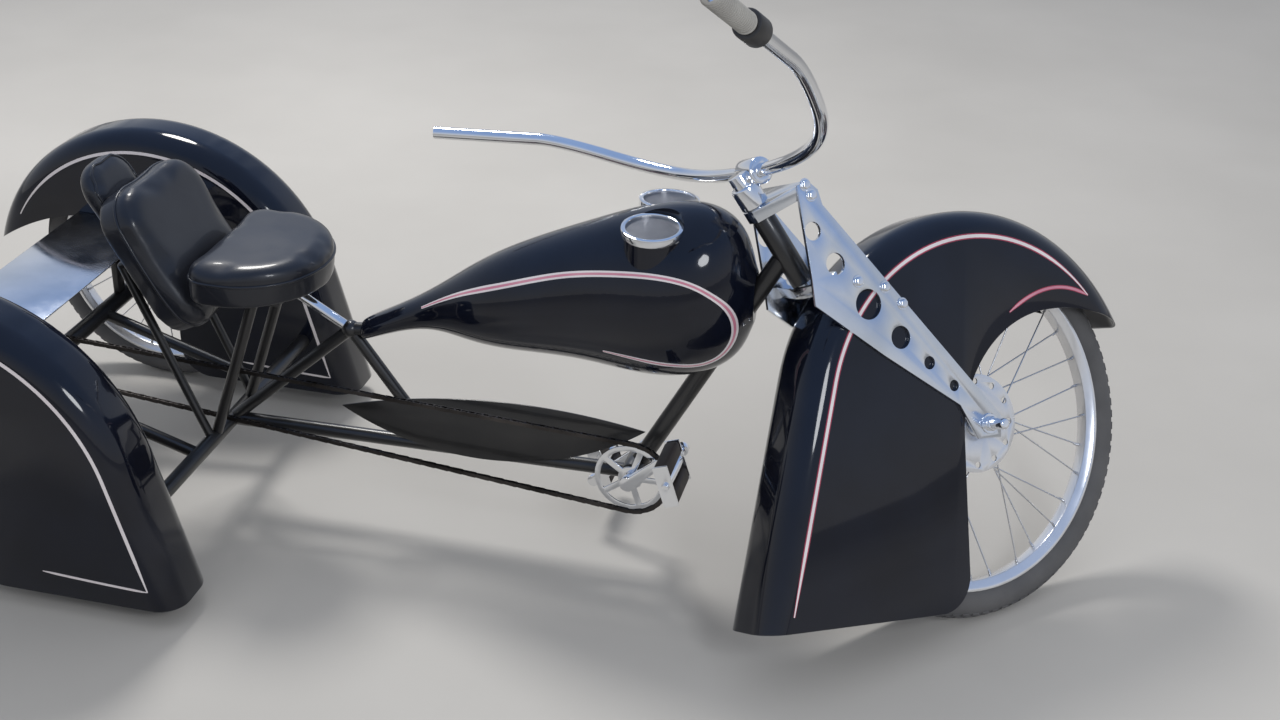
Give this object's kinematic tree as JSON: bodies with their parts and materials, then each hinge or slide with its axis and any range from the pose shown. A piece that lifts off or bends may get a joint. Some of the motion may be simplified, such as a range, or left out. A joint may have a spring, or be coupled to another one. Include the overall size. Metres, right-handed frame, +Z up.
{
  "type": "custom recumbent tricycle",
  "caption": "Low custom tricycle with a teardrop tank, low padded seat, skirted fenders on its wheels, raked drilled fork plates, steering, crank and wheels that turn.",
  "frame": {"origin": "on the ground, under the middle of the whole machine as it stands", "axes": "+X forward, +Y to the rider's left, +Z up"},
  "size_m": [2.2549, 1.0444, 1.225],
  "materials": {
    "black_frame": "satin black paint on tube",
    "black_plastic": "matte black moulding",
    "chain_steel": "dark oiled steel",
    "chrome": "bright chrome",
    "gloss_black": "gloss black enamel",
    "grip_rubber": "pale grey ribbed rubber",
    "mesh_grey": "grey mesh-like cap face",
    "pedal_rubber": "dark brown-black rubber",
    "polished": "polished aluminium",
    "rim_alloy": "bright alloy",
    "steel": "plain bright steel",
    "tyre": "grey-black tyre rubber",
    "vinyl": "glossy black vinyl"
  },
  "bodies": {
    "frame": {"head_tube": "black_frame", "bottom_bracket": "black_frame", "down_tube": "black_frame", "tank": "gloss_black", "cap_rings": "chrome", "cap_faces": "mesh_grey", "tail_lug": "black_frame", "axle_beam": "black_frame", "cross_tube": "black_frame", "lower_tube": "black_frame", "tail_tube": "black_frame", "frame_strut": "black_frame", "side_rails": "black_frame", "leaf_panel": "black_frame", "rear_deck": "polished", "deck_posts": "black_frame", "rear_fender_left": "gloss_black", "rear_fender_right": "gloss_black", "seat_cushion": "vinyl", "back_pad": "vinyl", "upper_pad": "vinyl", "seat_pan": "black_frame", "seat_posts": "black_frame", "seat_strut": "chrome", "back_frame": "black_frame", "chain": "chain_steel", "rear_sprocket": "steel"},
    "steering": {"fork_plate_left": "polished", "fork_plate_right": "polished", "front_axle": "chrome", "steerer": "chrome", "lower_crown": "polished", "upper_crown": "polished", "handlebar": "chrome", "stem": "chrome", "right_grip": "grip_rubber", "control_block": "black_plastic", "front_fender": "gloss_black"},
    "front_wheel": {"front_tyre": "tyre", "front_rim": "rim_alloy", "front_hub": "polished", "front_spokes": "steel"},
    "rear_wheel_left": {"rear_tyre_left": "tyre", "rear_rim_left": "rim_alloy", "rear_hub_left": "steel", "rear_spokes_left": "steel"},
    "rear_wheel_right": {"rear_tyre_right": "tyre", "rear_rim_right": "rim_alloy", "rear_hub_right": "steel", "rear_spokes_right": "steel"},
    "crank": {"crank_set": "chrome"},
    "pedal_left": {"pedal_left": "chrome", "pedal_rubbers_left": "pedal_rubber"},
    "pedal_right": {"pedal_right": "chrome", "pedal_rubbers_right": "pedal_rubber"}
  },
  "joints": [
    {"name": "steering", "type": "hinge", "parent": "frame", "child": "steering", "pos_m": [0.80198, 0.06868, 0.25855], "axis": [-0.565, 0, 0.8251], "range_deg": [-102.9, 1.1]},
    {"name": "front_wheel_spin", "type": "hinge", "parent": "steering", "child": "front_wheel", "pos_m": [0.86547, 0.16336, 0.30202], "axis": [-0.6403, 0.6307, -0.4384], "continuous": true},
    {"name": "rear_wheel_left_spin", "type": "hinge", "parent": "frame", "child": "rear_wheel_left", "pos_m": [-0.78535, 0.45618, 0.254], "axis": [0, 1, 0], "continuous": true},
    {"name": "rear_wheel_right_spin", "type": "hinge", "parent": "frame", "child": "rear_wheel_right", "pos_m": [-0.78535, -0.31882, 0.254], "axis": [0, 1, 0], "continuous": true},
    {"name": "crank_turn", "type": "hinge", "parent": "frame", "child": "crank", "pos_m": [0.31665, 0.06868, 0.18], "axis": [0, 1, 0], "continuous": true},
    {"name": "pedal_left_spin", "type": "hinge", "parent": "crank", "child": "pedal_left", "pos_m": [0.22227, 0.06868, 0.09502], "axis": [0, 1, 0], "continuous": true},
    {"name": "pedal_right_spin", "type": "hinge", "parent": "crank", "child": "pedal_right", "pos_m": [0.41103, 0.06868, 0.26498], "axis": [0, 1, 0], "continuous": true}
  ]
}
